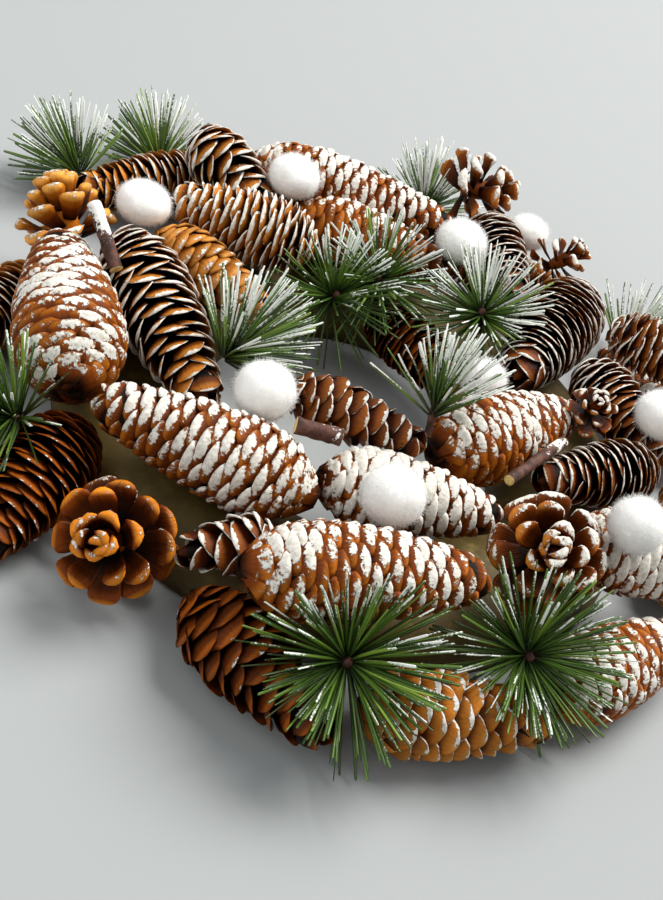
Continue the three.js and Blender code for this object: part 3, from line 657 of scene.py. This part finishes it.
def pineCone(number, degrees, pitch, length, width, snow, paintName, openAngle=pine["openAngle"],
             scaleCount=pine["scales"]):
    # scales open from the first angle to the last with their number, while their reach and width fall
    node = "pine_cone_" + number
    rng = np.random.default_rng(2000 + int(number))
    axis = heading(degrees, pitch)
    side, over = crossAxes(axis)
    points = nodePoints(node)
    middle = points.mean(0)
    along = (points - middle) @ axis
    count = scaleCount if width > pine["small"] else pine["smallScales"]
    share = (np.arange(count) + 0.5) / count
    jitter = np.radians(rng.normal(0, pine["jitter"], count))
    opening = np.radians(openAngle + (pine["closeAngle"] - openAngle) * share) + jitter
    reach = 0.5 * width * (1 - pine["reachDrop"] * share ** 2) * rng.uniform(0.88, 1.0, count)
    root = (pine["firstRoot"] + pine["rootSpan"] * share) * length
    tipAxial = root + reach * np.cos(opening)
    centre = middle + axis * ((along.max() + along.min()) / 2 - (tipAxial.max() + tipAxial.min()) / 2)
    place = (centre, axis, side, over)
    shape = Shape()
    narrower = pine["scaleWidth"] * width * (1 - pine["widthDrop"] * share)
    halfWidth = 0.5 * narrower * rng.uniform(0.92, 1.08, count)
    turn = np.arange(count) * goldenTurn + rng.uniform(-0.1, 0.1, count)
    thick = np.full(count, pine["thick"] * width) * (1 - pine["thickDrop"] * share)
    scales = dict(axial=tipAxial, radius=reach * np.sin(opening), turn=turn, length=reach * 0.97,
                  root=opening + np.radians(pine["rootMore"]), tip=opening - np.radians(pine["tipLess"]),
                  halfWidth=halfWidth, thick=thick)
    addScales(shape, place, pine["look"], scales, snow, rng)
    axial = np.linspace(-0.38, 0.34, 14)
    bulge = np.sqrt(np.clip(1 - ((axial + 0.02) / 0.36) ** 2, 0, 1))
    addSpindle(shape, place, axial * length, pine["core"] * width * bulge, 0.8, -1.0)
    return shape.piece("pineCone" + number, node, "pine_cone", scalePaints[paintName])


for number, values in pine["cones"].items():
    pineCone(number, *values)
print("pine cones made:", len(pine["cones"]))


# pompoms: a soft lumpy ball under a coat of short curved fibres
pompom = {
    "rings": 40, "around": 56, "lumps": 0.03, "fibres": 4200, "fibreLength": 1.9, "fibreWidth": 0.1,
    "lean": 0.45, "bow": 0.35, "ballShare": 0.93, "rootShare": 0.91,
    # some are pressed down to this share of their height
    "low": {"01": 0.94, "02": 0.94, "03": 0.74, "04": 0.78, "05": 0.8, "06": 0.76, "09": 0.85},
}


def pompomPaint():
    # two whites blended by noise, soft inside, with a sheen of fibres
    paint = Paint("pompomFluff", Roughness=0.95, Sheen_Weight=0.6, Sheen_Roughness=0.6, Subsurface_Weight=0.5,
                  Subsurface_Scale=0.006, Specular_IOR_Level=0.2)
    paint.shader.inputs["Subsurface Radius"].default_value = (1.0, 0.95, 0.9)
    soft = paint.noise(260.0, 4.0, 0.6)
    colour = paint.blend(paint.ease(soft, 0.3, 0.7), linear(240, 239, 235), linear(247, 246, 243))
    paint.bump(paint.total((soft, 1.0), (paint.noise(1500.0, 3.0), 0.5)), 0.0005, 0.5)
    return paint.finish(colour)


fluff = pompomPaint()


def addBall(shape, centre, radius, seed):
    # a radius that noise moves a little, on rings from pole to pole
    polar = np.linspace(0, math.pi, pompom["rings"] + 2)[:, None]
    alpha = np.arange(pompom["around"])[None, :] / pompom["around"] * 2 * math.pi
    level = np.sin(polar)
    ray = np.stack(np.broadcast_arrays(level * np.cos(alpha), -level * np.sin(alpha), -np.cos(polar)), -1)
    swell = pompom["ballShare"] + pompom["lumps"] * lumpNoise(centre + ray * radius, 5.0, seed)
    swell = swell + 0.012 * lumpNoise(ray * radius, 1.6, 9)
    ball = centre + ray * (radius * swell)[..., None]
    quads, tris = tubeFaces(pompom["rings"], pompom["around"])
    shape.add(closedTubes(ball[None, 1:-1], ball[None, 0, 0], ball[None, -1, 0]), quads, tris, np.zeros(2))


def addFibres(shape, centre, radius, rng):
    # thin three-sided spikes that lean aside and bow with the square of the share, spread by the golden angle
    count = pompom["fibres"]
    height = 1 - 2 * (np.arange(count) + 0.5) / count
    turn = np.arange(count) * goldenTurn
    flat = np.sqrt(1 - height ** 2)
    out = np.stack([flat * np.cos(turn), flat * np.sin(turn), height], -1)
    lean = unit(out + pompom["lean"] * rng.normal(0, 1, (count, 3)))
    bow = rng.normal(0, pompom["bow"], (count, 3))
    size = pompom["fibreLength"] * rng.uniform(0.6, 1.15, count)
    step = np.array([0.0, 0.35, 0.7, 1.0])[None, :, None]
    course = (lean[:, None] * step + bow[:, None] * step ** 2) * size[:, None, None]
    line = centre + out[:, None] * radius * pompom["rootShare"] + course
    edge = unit(np.cross(lean, rng.normal(0, 1, (count, 3))))
    other = np.cross(lean, edge)
    beta = np.arange(3) / 3 * 2 * math.pi
    girth = (np.cos(beta)[:, None] * edge[:, None] + np.sin(beta)[:, None] * other[:, None])[:, None]
    slim = pompom["fibreWidth"] * 0.5 * np.array([1.0, 0.75])[None, :, None, None]
    rings = line[:, 1:3, None] + girth * slim
    quads, tris = tubeFaces(2, 3)
    shape.add(closedTubes(rings, line[:, 0], line[:, -1]), quads[:, ::-1], tris[:, ::-1], np.zeros(2))


def pompomBall(number):
    # the node's ball and its coat, then every height above its foot times the share for this pompom
    node = "pompom_" + number
    points = nodePoints(node)
    centre = (points.max(0) + points.min(0)) / 2
    radius = np.linalg.norm(points - centre, axis=1).max()
    shape = Shape()
    addBall(shape, centre, radius, int(number))
    addFibres(shape, centre, radius, np.random.default_rng(3000 + int(number)))
    foot = centre[2] - radius
    for part in shape.points:
        part[:, 2] = foot + (part[:, 2] - foot) * pompom["low"].get(number, 1.0)
    return shape.piece("pompom" + number, node, "pompom", fluff)


pompomNumbers = [f"{i:02d}" for i in range(1, 10)]
for number in pompomNumbers:
    pompomBall(number)
print("pompoms made:", len(pompomNumbers))


# needle sprays: long slim needles from a short twig, turned clear of the cones beside them
needle = {
    "count": 132, "length": 35.0, "shortest": 0.82, "varied": 0.2, "width": 1.25, "thick": 0.55, "bow": 0.1,
    "rootDepth": 0.5, "rootSpan": 10.5, "turns": 8, "clearance": 0.9, "jitter": 9.0,
    "dense": {"01": 1.45, "02": 1.45, "03": 1.25, "08": 0.75}, "longer": {"01": 42.0, "02": 40.0},
    "sprays": {  # heading, pitch, spread from and to, frost
        "01": (272, 38, 30, 97, 0.22), "02": (285, 38, 30, 97, 0.28), "03": (220, 25, 8, 76, 0.25),
        "04": (45, 45, 8, 70, 0.45), "05": (290, 45, 22, 90, 0.35), "06": (270, 45, 22, 90, 0.40),
        "07": (260, 50, 22, 90, 0.60), "08": (110, 60, 8, 56, 0.50), "09": (150, 20, 8, 66, 0.40),
        "10": (125, 22, 8, 66, 0.40), "11": (95, 25, 8, 66, 0.55), "12": (50, 25, 8, 66, 0.50),
    },
}
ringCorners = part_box("base_ring")
ringCentre = np.array([(ringCorners[0][i] + ringCorners[1][i]) / 2 * perMetre for i in range(2)] + [0.0])
ring = {
    "outer": (ringCorners[1][0] - ringCorners[0][0]) / 2 * perMetre,
    "inner": 66.0,  # millimetres from the ring's centre to its inner edge
    "height": ringCorners[1][2] * perMetre,
    "hole": 27.0,  # needles keep this far from the centre, towards their own side
}


def roomSpheres():
    # the room of the cones and pompoms as balls, for the needles to stay clear of
    spots, sizes = [], []
    for number in spruce["cones"]:
        (centre, axis, _, _), length, radius = sprucePlace("spruce_cone_" + number)
        share = np.linspace(0.06, 0.94, 16)
        spots.append(centre + ((share - 0.5) * length)[:, None] * axis)
        sizes.append(np.minimum(spruceRadius(share) * radius, length * np.minimum(share, 1 - share) + 1.5))
    for number in pine["cones"]:
        points = nodePoints("pine_cone_" + number)
        spots += [points, points.mean(0)[None]]
        sizes += [np.full(len(points), 2.5), np.array([0.3 * pine["cones"][number][3]])]
    for number in pompomNumbers:
        points = nodePoints("pompom_" + number)
        spots.append(points.mean(0)[None])
        sizes.append(np.linalg.norm(points - points.mean(0), axis=1).max()[None])
    return np.concatenate(spots), np.concatenate(sizes)


roomSpots, roomSizes = roomSpheres()


def isClear(points, away):
    # true where a point keeps off every ball, the base ring and the floor
    flat = points.reshape(-1, 3)
    gap = np.full(len(flat), 1e9)
    for spots, sizes in zip(np.array_split(roomSpots, 12), np.array_split(roomSizes, 12)):
        gap = np.minimum(gap, (np.linalg.norm(flat[:, None] - spots[None], axis=2) - sizes).min(1))
    fromAxis = np.linalg.norm(flat[:, :2] - ringCentre[:2], axis=1)
    middle, half = (ring["outer"] + ring["inner"]) / 2, (ring["outer"] - ring["inner"]) / 2 + away
    overRing = ((fromAxis - middle) / half) ** 2 + (flat[:, 2] / (ring["height"] + away)) ** 2 > 1
    clear = (gap > away) & overRing & (flat[:, 2] > 0.8)
    return clear.reshape(points.shape[:-1])


def sprayHub(node, axis):
    # the needles' roots crowd round the twig: its line runs through their middle, and its end is the hub
    points = nodePoints(node)
    middle = np.median(points, 0)
    for _ in range(4):
        away = points - middle
        along = away @ axis
        near = (np.linalg.norm(away - along[:, None] * axis, axis=1) < 2.6) & (np.abs(along) < 14)
        middle = points[near].mean(0)
    along = (points[near] - middle) @ axis
    return middle + axis * along.max()


def needlePaint():
    # green by the needle's tint with a paler rib, darker at the root, and frost where its sum passes a limit
    paint = Paint("pineNeedle", Specular_IOR_Level=0.45)
    u, v = paint.along()
    green = paint.ramp(paint.mark("tint"), (0.0, linear(18, 36, 12)), (0.35, linear(38, 66, 14)),
                       (0.7, linear(68, 102, 24)), (1.0, linear(116, 144, 48)))
    rib = paint.calc("SUBTRACT", 1.0, paint.ease(paint.calc("ABSOLUTE", v), 0.0, 0.6))
    green = paint.blend(paint.calc("MULTIPLY", rib, 0.3), green, linear(150, 176, 84))
    green = paint.blend(paint.ease(u, 0.35, 0.0), green, linear(30, 44, 20))
    fine = paint.noise(900.0, 3.0, 0.6)
    speckle = paint.calc("SUBTRACT", fine, 0.5)
    frost = paint.total((paint.mark("cover"), 1.0), (speckle, 1.0), (paint.ease(u, 0.2, 0.95), 0.5))
    mask = paint.ease(frost, 0.5, 0.66)
    paint.bump(paint.total((mask, 1.0), (fine, 0.4)), 0.0004, 0.7)
    colour = paint.blend(mask, green, linear(224, 228, 220))
    return paint.finish(colour, paint.total((mask, 0.45), (1.0, 0.42)))


needleGreen = needlePaint()
twigLooks = {
    "bark": linear(96, 60, 48), "barkDark": linear(50, 26, 18),
    "cut": linear(226, 202, 130), "rings": linear(190, 158, 100),
}


def barkPaint(name):
    # two browns by noise, pale wood where v is 1 on the cut faces, and white where the flocking's sum is high
    paint = Paint(name, Specular_IOR_Level=0.35)
    u, v = paint.along()
    fine = paint.noise(700.0, 4.0, 0.65)
    ridge = paint.noise(220.0, 3.0)
    bark = paint.blend(paint.ease(ridge, 0.35, 0.65), twigLooks["barkDark"], twigLooks["bark"])
    wood = paint.blend(paint.ease(fine, 0.3, 0.7), twigLooks["rings"], twigLooks["cut"])
    colour = paint.blend(paint.ease(v, 0.4, 0.6), bark, wood)
    snow = paint.total((paint.mark("cover"), 1.0), (paint.calc("SUBTRACT", fine, 0.5), 1.9))
    mask = paint.ease(snow, 0.45, 0.58)
    paint.bump(paint.total((ridge, 0.6), (fine, 0.4), (mask, 0.7)), 0.0008, 0.8)
    return paint.finish(paint.blend(mask, colour, snowWhite), paint.total((mask, 0.2), (1.0, 0.7)))


barkBrown = barkPaint("twigBark")


def addTwig(shape, start, end, radius, snow, seed):
    # a tube whose radius noise moves, with flat cut ends: the first and last rings lie on the cut faces
    # snow is (at the start, at the end, share of the length where the end's begins)
    snowAtStart, snowAtEnd, snowFrom = snow
    axis = unit(end - start)
    side, over = crossAxes(axis)
    length = np.linalg.norm(end - start)
    along = np.concatenate([[0.0, 0.0, 0.0], np.linspace(0.01, 0.99, 14), [1.0, 1.0, 1.0]])
    girth = np.concatenate([[0.0, 0.55, 0.93], np.ones(14), [0.93, 0.55, 0.0]])
    cut = np.concatenate([[1, 1, 1], np.zeros(14), [1, 1, 1]])
    around = 14
    alpha = np.arange(around) / around * 2 * math.pi
    rays = np.cos(alpha)[:, None] * side - np.sin(alpha)[:, None] * over
    middle = start + along[:, None, None] * length * axis
    spot = middle + rays * radius * girth[:, None, None]
    rough = 1 + 0.09 * lumpNoise(spot, 2.2, seed) + 0.05 * lumpNoise(spot, 0.9, seed + 1)
    spot = middle + rays * (radius * girth[:, None] * rough)[..., None]
    # flocking lies on the upper side and at the ends, in patches
    share = along[:, None]
    atStart = snowAtStart * (1 - smoothStep(0.1, 0.45, share))
    atEnd = snowAtEnd * smoothStep(snowFrom, snowFrom + 0.35, share)
    cover = 0.35 * rays[:, 2][None, :] - 0.25 + atStart + atEnd
    cover = cover + 0.4 * lumpNoise(spot, 3.0, seed + 2)
    quads, tris = tubeFaces(len(along) - 2, around)

    def packed(values):
        return closedTubes(values[None, 1:-1], values[None, 0, 0], values[None, -1, 0])
    uv = packed(np.stack(np.broadcast_arrays(share, cut[:, None]), -1) + np.zeros((1, around, 1)))
    shape.add(packed(spot), quads, tris, uv, tint=0.5, face=0.0,
              cover=packed((cover + np.zeros((1, around)))[..., None])[..., 0])


def clearNeedles(root, direction, length, axis, hub):
    # each needle turns by steps towards the twig's direction until it is clear of what lies beside the spray,
    # and the few that never are go away
    turns = np.linspace(0, 0.9, needle["turns"])[None, :, None]
    tried = unit(direction[:, None] * (1 - turns) + axis * turns)
    test = np.linspace(0.15, 1.0, 9)
    spots = root[:, None, None] + tried[:, :, None] * (test[:, None] * length[:, None, None, None])
    holeSide = unit((hub - ringCentre) * [1, 1, 0])
    offHole = ((spots - ringCentre) @ holeSide > ring["hole"]).all(2)
    ok = isClear(spots, needle["clearance"]).all(2) & offHole
    keep = ok.any(1)
    chosen = tried[np.arange(len(root)), ok.argmax(1)][keep]
    root, length = root[keep], length[keep]
    # and none passes the wreath's own box
    corners = np.array([list(corner) for corner in cadBox]) * perMetre
    wall = np.where(chosen > 0, corners[1], corners[0])
    return root, chosen, length * np.minimum(1, ((wall - root) / (chosen * length[:, None])).min(1))


def addNeedles(shape, root, chosen, length, frost, seed, rng):
    # centre line: straight out with a slight bow, a square share of the way to the side
    count = len(root)
    along = np.array([0.0, 0.03, 0.28, 0.52, 0.76, 0.985, 1.0])
    bow = rng.normal(0, 1, (count, 3)) * needle["bow"] * 0.35
    bow -= (bow * chosen).sum(1)[:, None] * chosen
    course = chosen[:, None] * along[:, None] + bow[:, None] * (along ** 2 - along)[:, None]
    line = root[:, None] + course * length[:, None, None]
    # section: a flat oval, slimmer towards the tip
    flat = unit(np.cross(chosen, rng.normal(0, 1, (count, 3))))
    deep = np.cross(chosen, flat)
    beta = np.arange(6) / 6 * 2 * math.pi
    slimmer = np.array([0.8, 1.0, 1.0, 0.95, 0.82])[None, :, None, None]
    size = slimmer * rng.uniform(0.85, 1.1, (count, 1, 1, 1)) * 0.5
    wide = np.cos(beta)[:, None] * flat[:, None] * needle["width"]
    oval = wide + np.sin(beta)[:, None] * deep[:, None] * needle["thick"]
    body = line[:, 1:6, None] + oval[:, None] * size
    # frost lies on the upper side, more on needles that point up, in tufts
    up = unit(oval)[:, None, :, 2] * np.ones((1, 7, 1))
    grid = line[:, :, None] + oval[:, None] * 0
    tuft = 0.3 * lumpNoise(grid, 14.0, seed) + 0.25 * rng.uniform(-1, 1, (count, 1, 1))
    cover = 0.9 * (frost - 0.6) + 0.25 * up + tuft + 0.55 * (chosen[:, 2][:, None, None] - 0.2)
    tint = np.clip(0.5 + 0.28 * rng.normal(0, 1, count), 0, 1)[:, None]
    uvGrid = np.stack(np.broadcast_arrays(along[:, None], np.cos(beta)[None, :]), -1)[None]
    quads, tris = tubeFaces(5, 6)

    def ends(values):
        return closedTubes(values[:, 1:6], values[:, 0, 0], values[:, 6, 0])
    shape.add(closedTubes(body, line[:, 0], line[:, 6]), quads[:, ::-1], tris[:, ::-1], ends(uvGrid) * 1.0,
              tint=tint, cover=ends(cover[..., None])[..., 0])


def addStem(shape, points, hub, axis, frost, seed):
    # the twig from the node's farthest point on its line up to the hub, and a bud with an oval outline
    back = (points - hub) @ axis
    nearLine = np.linalg.norm(points - hub - back[:, None] * axis, axis=1) < 1.9
    addTwig(shape, hub + axis * back[nearLine].min(), hub, 1.5, (-0.5, -0.5, 0.55), seed)
    budAxial = np.linspace(-3.4, 2.6, 10)
    budGirth = 2.1 * np.sqrt(np.clip(1 - (budAxial / 3.0 + 0.13) ** 2, 0, 1))
    budGirth[[0, -1]] = 0
    addSpindle(shape, (hub, axis, *crossAxes(axis)), budAxial, budGirth, 0.5, frost - 0.6)


def needleSpray(number, degrees, pitch, spreadFrom, spreadTo, frost):
    # needles lean from the twig's end by angles between the spread's two, a golden angle apart
    node = "needle_spray_" + number
    rng = np.random.default_rng(4000 + int(number))
    axis = heading(degrees, pitch)
    side, over = crossAxes(axis)
    hub = sprayHub(node, axis)
    count = int(needle["count"] * needle["dense"].get(number, 1.0))
    share = (np.arange(count) + 0.5) / count
    jitter = needle["jitter"] * rng.uniform(-1, 1, count)
    lean = np.radians(spreadFrom + (spreadTo - spreadFrom) * share ** 0.8 + jitter)
    turn = np.arange(count) * goldenTurn + rng.uniform(-0.15, 0.15, count)
    out = np.cos(turn)[:, None] * side + np.sin(turn)[:, None] * over
    direction = np.cos(lean)[:, None] * axis + np.sin(lean)[:, None] * out
    root = hub - axis * (needle["rootDepth"] + needle["rootSpan"] * share[:, None]) + out * 1.0
    varied = needle["shortest"] + needle["varied"] * rng.uniform(0, 1, count)
    length = needle["longer"].get(number, needle["length"]) * varied
    root, chosen, length = clearNeedles(root, direction, length, axis, hub)
    shape, stem = Shape(), Shape()
    addNeedles(shape, root, chosen, length, frost, int(number), rng)
    addStem(stem, nodePoints(node), hub, axis, frost, int(number))
    shape.piece("needleSpray" + number, node, "needles", needleGreen)
    stem.piece("sprayStem" + number, node, "twig", barkBrown)


for number, values in needle["sprays"].items():
    needleSpray(number, *values)
print("needle sprays made:", len(needle["sprays"]))


# cut twigs: flocking at the start, at the end, and the share of the length where the end's begins
twigSnow = {"01": (-0.15, 0.8, 0.3), "02": (-0.1, 0.4, 0.55), "03": (-0.1, 0.65, 0.5)}


def cutTwig(number, snow):
    # the node's own line and width
    node = "twig_" + number
    centre, axis, length, radius = longAxis(nodePoints(node))
    reach = axis * length / 2
    shape = Shape()
    addTwig(shape, centre - reach, centre + reach, radius * 0.95, snow, 50 + int(number))
    return shape.piece("twig" + number, node, "twig", barkBrown)


for number, snow in twigSnow.items():
    cutTwig(number, snow)
print("twigs made:", len(twigSnow))


# base ring: a half-round in a smooth tan wrap, with shallow dents
wrap = {"around": 300, "section": 24, "dents": 0.5}


def wrapPaint():
    # the wrap's tan, darkened as painted shade from the cones above it, in three tones along the sum of long
    # fibres, patches and flecks
    paint = Paint("baseWrap", Specular_IOR_Level=0.35)
    u, v = paint.along()
    stretched = paint.vector(paint.calc("MULTIPLY", u, 90.0), paint.calc("MULTIPLY", v, 9.0))
    fibres = paint.noise(1.0, 4.0, 0.6, stretched)
    flecks = paint.noise(900.0, 3.0)
    tone = paint.total((fibres, 0.4), (paint.noise(55.0, 3.0), 0.45), (flecks, 0.15))
    colour = paint.ramp(tone, (0.3, linear(52, 40, 16)), (0.5, linear(84, 68, 26)),
                        (0.7, linear(128, 110, 56)))
    paint.bump(paint.total((fibres, 0.6), (flecks, 0.3)), 0.0006, 0.6)
    return paint.finish(colour, paint.total((fibres, 0.2), (1.0, 0.55)))


def baseRing():
    # half-round section on a flat underside; noise presses shallow dents into the top
    sweep = np.arange(wrap["around"]) / wrap["around"] * 2 * math.pi
    under = 6  # points of the section on the flat underside
    arch = np.concatenate([np.linspace(0, math.pi, wrap["section"] - under),
                           math.pi + np.linspace(0.1, 0.9, under) * math.pi])
    middle, half = (ring["outer"] + ring["inner"]) / 2, (ring["outer"] - ring["inner"]) / 2
    onTop = arch <= math.pi + 1e-6
    across = np.where(onTop, np.cos(arch), -1 + 2 * (arch - math.pi) / math.pi)
    high = np.where(onTop, np.sin(arch), 0.0)
    fromAxis = middle + half * across
    around = np.stack([np.cos(sweep), np.sin(sweep)], -1)[:, None]
    flat = ringCentre[:2] + fromAxis[None, :, None] * around
    level = np.broadcast_to(ring["height"] * high[None, :, None], flat.shape[:2] + (1,))
    points = np.concatenate([flat, level], -1)
    dip = wrap["dents"] * (0.5 + 0.5 * lumpNoise(points, 14.0, 2)) * high
    points[..., :2] -= (dip * across)[..., None] * around
    points[..., 2] -= dip * high
    turns, spots = points.shape[:2]
    i, j = np.meshgrid(np.arange(turns), np.arange(spots), indexing="ij")
    nextI, nextJ = (i + 1) % turns, (j + 1) % spots
    quads = np.stack([i * spots + j, nextI * spots + j, nextI * spots + nextJ, i * spots + nextJ], -1)
    uv = np.stack(np.broadcast_arrays(sweep[:, None] / (2 * math.pi), arch[None] / math.pi), -1)
    shape = Shape()
    shape.add(points.reshape(1, -1, 3), quads.reshape(-1, 4), np.zeros((0, 3), int), uv.reshape(1, -1, 2))
    return shape.piece("baseRing", "base_ring", "ring", wrapPaint())


baseRing()
print("base ring made")


# camera at the photograph's angle, soft studio light and a pale floor
view = {"target": (-3, -48, 30), "elevation": 40.0, "roll": 23.7, "distance": 555.0, "lens": 56.0}


def makeCamera():
    # looks at the target from the south, raised and rolled, with the target counted from the ring's centre
    aim = (Vector(view["target"]) + Vector(ringCentre)) / perMetre
    tilt = math.radians(view["elevation"])
    back = Vector((0, -math.cos(tilt), math.sin(tilt)))
    data = bpy.data.cameras.new("photoCamera")
    data.lens = view["lens"]
    data.sensor_width = 36.0
    data.clip_start, data.clip_end = 0.01, 20.0
    camera = bpy.data.objects.new("photoCamera", data)
    place = Matrix.Translation(aim + back * view["distance"] / perMetre)
    level = (-back).to_track_quat("-Z", "Y").to_matrix().to_4x4()
    camera.matrix_world = place @ level @ Matrix.Rotation(math.radians(view["roll"]), 4, "Z")
    bpy.context.scene.collection.objects.link(camera)
    bpy.context.scene.camera = camera


light = {  # places are in metres from the ring's centre
    "key": {"place": (0.8, 1.2, 2.2), "size": 1.9, "power": 120.0, "colour": (1.0, 0.985, 0.96)},
    "fill": {"place": (-0.9, -0.7, 0.9), "size": 1.6, "power": 10.0, "colour": (0.95, 0.98, 1.0)},
    "world": (0.89, 0.9, 0.9, 1.0), "worldStrength": 0.43,
    "floor": linear(155, 158, 158), "floorHalf": 4.0, "floorDrop": 0.0002,
}


def makeLight(name):
    # a round area light turned to the ring's centre
    values = light[name]
    data = bpy.data.lights.new(name + "Light", "AREA")
    data.shape = "DISK"
    data.size = values["size"]
    data.energy = values["power"]
    data.color = values["colour"]
    lamp = bpy.data.objects.new(name + "Light", data)
    centre = Vector(ringCentre) / perMetre
    lamp.location = centre + Vector(values["place"])
    lamp.rotation_mode = "QUATERNION"
    lamp.rotation_quaternion = (centre - lamp.location).to_track_quat("-Z", "Y")
    bpy.context.scene.collection.objects.link(lamp)


def makeFloor():
    # one pale square just under the wreath
    paint = Paint("paleFloor", Roughness=0.75, Specular_IOR_Level=0.2)
    paint.shader.inputs["Base Color"].default_value = light["floor"]
    mesh = bpy.data.meshes.new("floor")
    half = light["floorHalf"]
    corners = [(x * half, y * half, -light["floorDrop"]) for x, y in ((-1, -1), (1, -1), (1, 1), (-1, 1))]
    mesh.from_pydata(corners, [], [(0, 1, 2, 3)])
    mesh.materials.append(paint.material)
    floor = bpy.data.objects.new("floor", mesh)
    bpy.context.scene.collection.objects.link(floor)


def makeWorld():
    # even light from all sides
    world = bpy.data.worlds.new("studio")
    world.use_nodes = True
    world.node_tree.nodes["Background"].inputs["Color"].default_value = light["world"]
    world.node_tree.nodes["Background"].inputs["Strength"].default_value = light["worldStrength"]
    bpy.context.scene.world = world
    bpy.context.scene.view_settings.view_transform = "Standard"


makeCamera()
makeLight("key")
makeLight("fill")
makeFloor()
makeWorld()
print("camera, lights and floor made")
